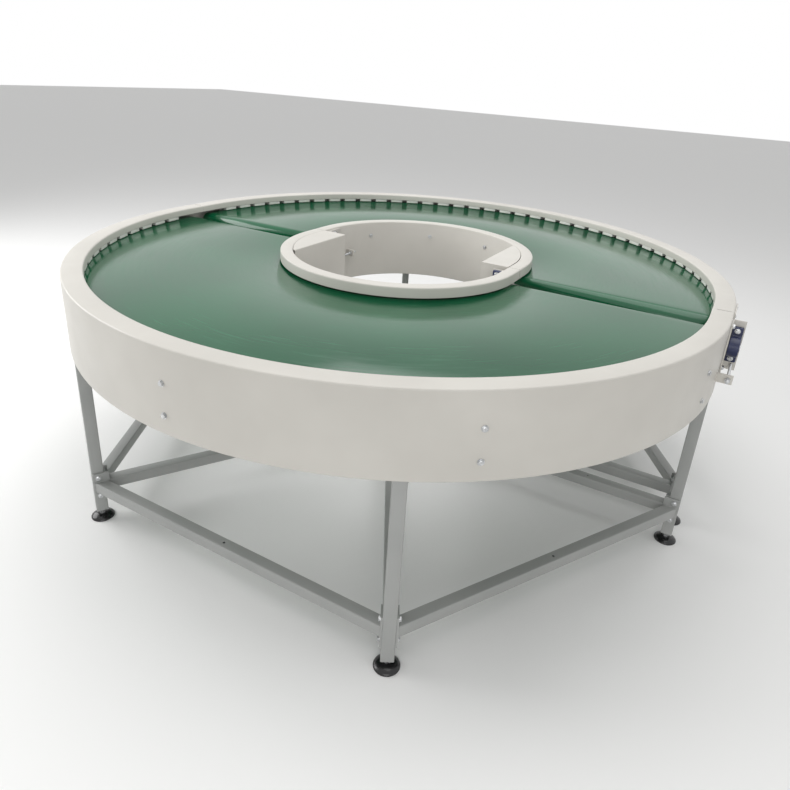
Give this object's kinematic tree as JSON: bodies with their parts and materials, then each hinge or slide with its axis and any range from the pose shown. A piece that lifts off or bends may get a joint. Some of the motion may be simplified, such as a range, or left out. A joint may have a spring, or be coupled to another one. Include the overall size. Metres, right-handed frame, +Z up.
{
  "type": "curved belt conveyor",
  "caption": "Round accumulation table of two half-turn belt curves: fan-shaped green belts round an open hub, deep sheet-metal side frames and bolted tube legs on levelling feet",
  "frame": {"origin": "on the floor, in the middle of the hub", "axes": "+X along the seam between the two halves, +Y towards the rear half, +Z up"},
  "size_m": [2.59, 2.654, 0.91],
  "materials": {
    "frame_paint": "smooth light grey enamel",
    "leg_paint": "mid grey enamel",
    "belt_pvc": "glossy dark green",
    "bed_steel": "bare sheet",
    "turned_steel": "turned",
    "guide_nylon": "white, moulded",
    "bearing_cast": "navy enamel",
    "plated_steel": "zinc plated",
    "motor_paint": "dark grey enamel",
    "foot_black": "black, moulded"
  },
  "bodies": {
    "table": {"outer_frame_front": "frame_paint", "outer_frame_rear": "frame_paint", "inner_frame_front": "frame_paint", "inner_frame_rear": "frame_paint", "belt_front": "belt_pvc", "belt_rear": "belt_pvc", "slider_bed_front": "bed_steel", "slider_bed_rear": "bed_steel", "bed_ledge_front": "frame_paint", "bed_ledge_rear": "frame_paint", "bed_beams_front": "bed_steel", "bed_beams_rear": "bed_steel", "tie_beams_front": "frame_paint", "tie_beams_rear": "frame_paint", "edge_guides_front": "guide_nylon", "edge_guides_rear": "guide_nylon", "drive_bearings_front": "bearing_cast", "drive_bearings_rear": "bearing_cast", "hub_cover_front": "frame_paint", "hub_cover_rear": "frame_paint", "gear_motor_front": "motor_paint", "gear_motor_rear": "motor_paint", "drive_chain_front": "plated_steel", "drive_chain_rear": "plated_steel", "side_bolts_front": "plated_steel", "side_bolts_rear": "plated_steel", "legs_front": "leg_paint", "legs_rear": "leg_paint", "rails_front": "leg_paint", "rails_rear": "leg_paint", "cross_frame_front": "leg_paint", "cross_frame_rear": "leg_paint", "frame_bolts_front": "plated_steel", "frame_bolts_rear": "plated_steel"},
    "drive_front": {"drive_roller_front": "turned_steel", "roller_sprocket_front": "turned_steel"},
    "takeup_front": {"takeup_outer_block_front": "bearing_cast", "takeup_inner_block_front": "bearing_cast", "takeup_brackets_front": "plated_steel"},
    "idler_front": {"idler_roller_front": "turned_steel"},
    "motor_shaft_front": {"motor_sprocket_front": "turned_steel"},
    "nuts_outer_front": {"takeup_nuts_outer_front": "plated_steel"},
    "nuts_inner_front": {"takeup_nuts_inner_front": "plated_steel"},
    "foot_front_1": {"foot_front_1": "foot_black"},
    "foot_front_2": {"foot_front_2": "foot_black"},
    "foot_front_3": {"foot_front_3": "foot_black"},
    "foot_front_4": {"foot_front_4": "foot_black"},
    "drive_rear": {"drive_roller_rear": "turned_steel", "roller_sprocket_rear": "turned_steel"},
    "takeup_rear": {"takeup_outer_block_rear": "bearing_cast", "takeup_inner_block_rear": "bearing_cast", "takeup_brackets_rear": "plated_steel"},
    "idler_rear": {"idler_roller_rear": "turned_steel"},
    "motor_shaft_rear": {"motor_sprocket_rear": "turned_steel"},
    "nuts_outer_rear": {"takeup_nuts_outer_rear": "plated_steel"},
    "nuts_inner_rear": {"takeup_nuts_inner_rear": "plated_steel"},
    "foot_rear_1": {"foot_rear_1": "foot_black"},
    "foot_rear_2": {"foot_rear_2": "foot_black"},
    "foot_rear_3": {"foot_rear_3": "foot_black"},
    "foot_rear_4": {"foot_rear_4": "foot_black"}
  },
  "joints": [
    {"name": "drive_spin_front", "type": "hinge", "parent": "table", "child": "drive_front", "pos_m": [0, -0.07, 0.864], "axis": [-0.9992, 0, -0.0395], "continuous": true},
    {"name": "motor_spin_front", "type": "hinge", "parent": "table", "child": "motor_shaft_front", "pos_m": [0.00466, -0.07, 0.74609], "axis": [-0.9992, 0, -0.0395], "continuous": true},
    {"name": "takeup_slide_front", "type": "slide", "parent": "table", "child": "takeup_front", "axis": [0, 1, 0], "range_m": [-0.012, 0]},
    {"name": "idler_spin_front", "type": "hinge", "parent": "takeup_front", "child": "idler_front", "pos_m": [0, -0.07, 0.864], "axis": [0.9992, 0, -0.0395], "continuous": true},
    {"name": "nut_turn_outer_front", "type": "hinge", "parent": "table", "child": "nuts_outer_front", "pos_m": [1.28, -0.175, 0.738], "axis": [0, 1, 0], "range_deg": [0, 2880]},
    {"name": "nut_turn_inner_front", "type": "hinge", "parent": "table", "child": "nuts_inner_front", "pos_m": [0.406, -0.175, 0.778], "axis": [0, 1, 0], "range_deg": [0, 2880]},
    {"name": "foot_screw_front_1", "type": "slide", "parent": "table", "child": "foot_front_1", "axis": [0, 0, 1], "range_m": [-0.02, 0.004]},
    {"name": "foot_screw_front_2", "type": "slide", "parent": "table", "child": "foot_front_2", "axis": [0, 0, 1], "range_m": [-0.02, 0.004]},
    {"name": "foot_screw_front_3", "type": "slide", "parent": "table", "child": "foot_front_3", "axis": [0, 0, 1], "range_m": [-0.02, 0.004]},
    {"name": "foot_screw_front_4", "type": "slide", "parent": "table", "child": "foot_front_4", "axis": [0, 0, 1], "range_m": [-0.02, 0.004]},
    {"name": "drive_spin_rear", "type": "hinge", "parent": "table", "child": "drive_rear", "pos_m": [0, 0.07, 0.864], "axis": [0.9992, 0, -0.0395], "continuous": true},
    {"name": "motor_spin_rear", "type": "hinge", "parent": "table", "child": "motor_shaft_rear", "pos_m": [-0.00466, 0.07, 0.74609], "axis": [0.9992, 0, -0.0395], "continuous": true},
    {"name": "takeup_slide_rear", "type": "slide", "parent": "table", "child": "takeup_rear", "axis": [0, -1, 0], "range_m": [-0.012, 0]},
    {"name": "idler_spin_rear", "type": "hinge", "parent": "takeup_rear", "child": "idler_rear", "pos_m": [0, 0.07, 0.864], "axis": [-0.9992, 0, -0.0395], "continuous": true},
    {"name": "nut_turn_outer_rear", "type": "hinge", "parent": "table", "child": "nuts_outer_rear", "pos_m": [-1.28, 0.175, 0.738], "axis": [0, -1, 0], "range_deg": [0, 2880]},
    {"name": "nut_turn_inner_rear", "type": "hinge", "parent": "table", "child": "nuts_inner_rear", "pos_m": [-0.406, 0.175, 0.778], "axis": [0, -1, 0], "range_deg": [0, 2880]},
    {"name": "foot_screw_rear_1", "type": "slide", "parent": "table", "child": "foot_rear_1", "axis": [0, 0, 1], "range_m": [-0.02, 0.004]},
    {"name": "foot_screw_rear_2", "type": "slide", "parent": "table", "child": "foot_rear_2", "axis": [0, 0, 1], "range_m": [-0.02, 0.004]},
    {"name": "foot_screw_rear_3", "type": "slide", "parent": "table", "child": "foot_rear_3", "axis": [0, 0, 1], "range_m": [-0.02, 0.004]},
    {"name": "foot_screw_rear_4", "type": "slide", "parent": "table", "child": "foot_rear_4", "axis": [0, 0, 1], "range_m": [-0.02, 0.004]}
  ],
  "couplings": [
    {"joint": "motor_spin_front", "follows": "drive_spin_front", "ratio": 1},
    {"joint": "idler_spin_front", "follows": "drive_spin_front", "ratio": 1},
    {"joint": "nut_turn_outer_front", "follows": "takeup_slide_front", "rad_per_m": -4188.8},
    {"joint": "nut_turn_inner_front", "follows": "takeup_slide_front", "rad_per_m": -4188.8},
    {"joint": "motor_spin_rear", "follows": "drive_spin_rear", "ratio": 1},
    {"joint": "idler_spin_rear", "follows": "drive_spin_rear", "ratio": 1},
    {"joint": "nut_turn_outer_rear", "follows": "takeup_slide_rear", "rad_per_m": -4188.8},
    {"joint": "nut_turn_inner_rear", "follows": "takeup_slide_rear", "rad_per_m": -4188.8}
  ]
}
